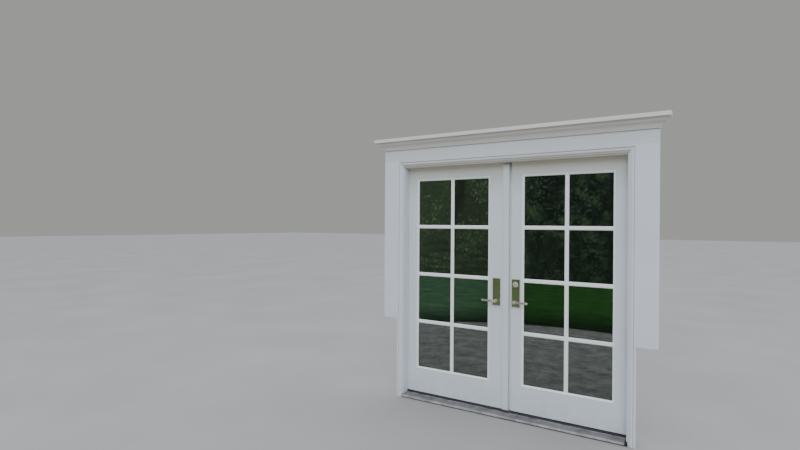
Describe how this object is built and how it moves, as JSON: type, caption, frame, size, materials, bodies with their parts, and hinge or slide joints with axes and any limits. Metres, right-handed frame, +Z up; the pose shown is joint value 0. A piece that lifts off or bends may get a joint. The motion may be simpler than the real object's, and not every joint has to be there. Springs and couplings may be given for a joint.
{
  "type": "french doors",
  "caption": "Glazed inswing doors that meet in the middle, with glazing bars, lever handles, frame, sill and crowned outside trim.",
  "frame": {"origin": "under the middle of the sill, in the plane of the outside trim's back", "axes": "+X to the right seen from outside, +Y into the house, +Z up"},
  "size_m": [2.3892, 0.264, 2.3148],
  "materials": {
    "painted_wood": "satin white paint",
    "glass": "clear, dark behind",
    "spacer_metal": "matt",
    "hinge_brass": "satin",
    "plate_brass": "aged satin",
    "lever_brass": "satin",
    "lock_steel": "brushed",
    "rubber": "matt",
    "pale_vinyl": "matt",
    "sill_metal": "weathered mill finish",
    "sill_core": "matt"
  },
  "bodies": {
    "frame": {"sill_base": "sill_core", "sill_deck": "sill_metal", "sill_cap": "painted_wood", "left_jamb": "painted_wood", "right_jamb": "painted_wood", "head_jamb": "painted_wood", "left_brickmould": "painted_wood", "right_brickmould": "painted_wood", "head_brickmould": "painted_wood", "left_casing": "painted_wood", "right_casing": "painted_wood", "head_casing": "painted_wood", "crown_moulding": "painted_wood", "crown_cap": "painted_wood", "frame_weatherstrip": "rubber", "jamb_hinge_plates": "hinge_brass", "hinge_pins": "hinge_brass", "bolt_strikes": "plate_brass"},
    "left_leaf": {"left_hinge_stile": "painted_wood", "left_lock_stile": "painted_wood", "left_top_rail": "painted_wood", "left_bottom_rail": "painted_wood", "left_glass_panes": "glass", "left_glass_spacer": "spacer_metal", "left_glazing_beads": "painted_wood", "left_glazing_bars": "painted_wood", "left_leaf_hinge_plates": "hinge_brass", "left_door_sweep": "rubber", "left_lock_case": "lock_steel", "left_outer_plate": "plate_brass", "left_inner_plate": "plate_brass", "astragal": "painted_wood", "astragal_seal": "pale_vinyl", "astragal_strike": "plate_brass"},
    "left_levers": {"left_outer_lever": "lever_brass", "left_inner_lever": "lever_brass"},
    "right_leaf": {"right_hinge_stile": "painted_wood", "right_lock_stile": "painted_wood", "right_top_rail": "painted_wood", "right_bottom_rail": "painted_wood", "right_glass_panes": "glass", "right_glass_spacer": "spacer_metal", "right_glazing_beads": "painted_wood", "right_glazing_bars": "painted_wood", "right_leaf_hinge_plates": "hinge_brass", "right_door_sweep": "rubber", "right_lock_case": "lock_steel", "right_outer_plate": "plate_brass", "right_inner_plate": "plate_brass", "right_lock_cylinder": "lever_brass"},
    "right_levers": {"right_outer_lever": "lever_brass", "right_inner_lever": "lever_brass"},
    "left_top_bolt_body": {"left_top_bolt": "lock_steel"},
    "left_bottom_bolt_body": {"left_bottom_bolt": "lock_steel"},
    "right_latch_body": {"right_latch_bolt": "lock_steel"},
    "right_deadbolt_body": {"right_deadbolt": "lock_steel"},
    "right_key_plug_body": {"right_key_plug": "lever_brass"},
    "right_thumbturn_body": {"right_thumbturn": "lever_brass"}
  },
  "joints": [
    {"name": "left_leaf_swing", "type": "hinge", "parent": "frame", "child": "left_leaf", "pos_m": [-0.93275, 0.123, 0.928], "axis": [0, 0, 1], "range_deg": [0, 110]},
    {"name": "right_leaf_swing", "type": "hinge", "parent": "frame", "child": "right_leaf", "pos_m": [0.93275, 0.123, 0.928], "axis": [0, 0, -1], "range_deg": [0, 110]},
    {"name": "left_lever_turn", "type": "hinge", "parent": "left_leaf", "child": "left_levers", "pos_m": [-0.07525, 0.09375, 0.928], "axis": [0, 1, 0], "range_deg": [0, 45]},
    {"name": "left_top_bolt_slide", "type": "slide", "parent": "left_leaf", "child": "left_top_bolt_body", "axis": [0, 0, 1], "range_m": [0, 0.022]},
    {"name": "left_bottom_bolt_slide", "type": "slide", "parent": "left_leaf", "child": "left_bottom_bolt_body", "axis": [0, 0, -1], "range_m": [0, 0.022]},
    {"name": "right_lever_turn", "type": "hinge", "parent": "right_leaf", "child": "right_levers", "pos_m": [0.08825, 0.09375, 0.928], "axis": [0, 1, 0], "range_deg": [0, 45], "stiffness_Nm_per_rad": 1, "springref_deg": -57.3},
    {"name": "right_latch_slide", "type": "slide", "parent": "right_leaf", "child": "right_latch_body", "axis": [1, 0, 0], "range_m": [0, 0.012]},
    {"name": "right_thumbturn_turn", "type": "hinge", "parent": "right_leaf", "child": "right_thumbturn_body", "pos_m": [0.08825, 0.09375, 1.068], "axis": [0, 1, 0], "range_deg": [0, 90]},
    {"name": "right_key_plug_turn", "type": "hinge", "parent": "right_leaf", "child": "right_key_plug_body", "pos_m": [0.08825, 0.09375, 1.068], "axis": [0, 1, 0], "range_deg": [0, 90]},
    {"name": "right_deadbolt_slide", "type": "slide", "parent": "right_leaf", "child": "right_deadbolt_body", "axis": [-1, 0, 0], "range_m": [0, 0.024]}
  ],
  "couplings": [
    {"joint": "left_top_bolt_slide", "follows": "left_lever_turn", "m_per_rad": 0.02801},
    {"joint": "left_bottom_bolt_slide", "follows": "left_lever_turn", "m_per_rad": 0.02801},
    {"joint": "right_latch_slide", "follows": "right_lever_turn", "m_per_rad": 0.015275},
    {"joint": "right_thumbturn_turn", "follows": "right_deadbolt_slide", "rad_per_m": 65.44},
    {"joint": "right_key_plug_turn", "follows": "right_deadbolt_slide", "rad_per_m": 65.44}
  ]
}
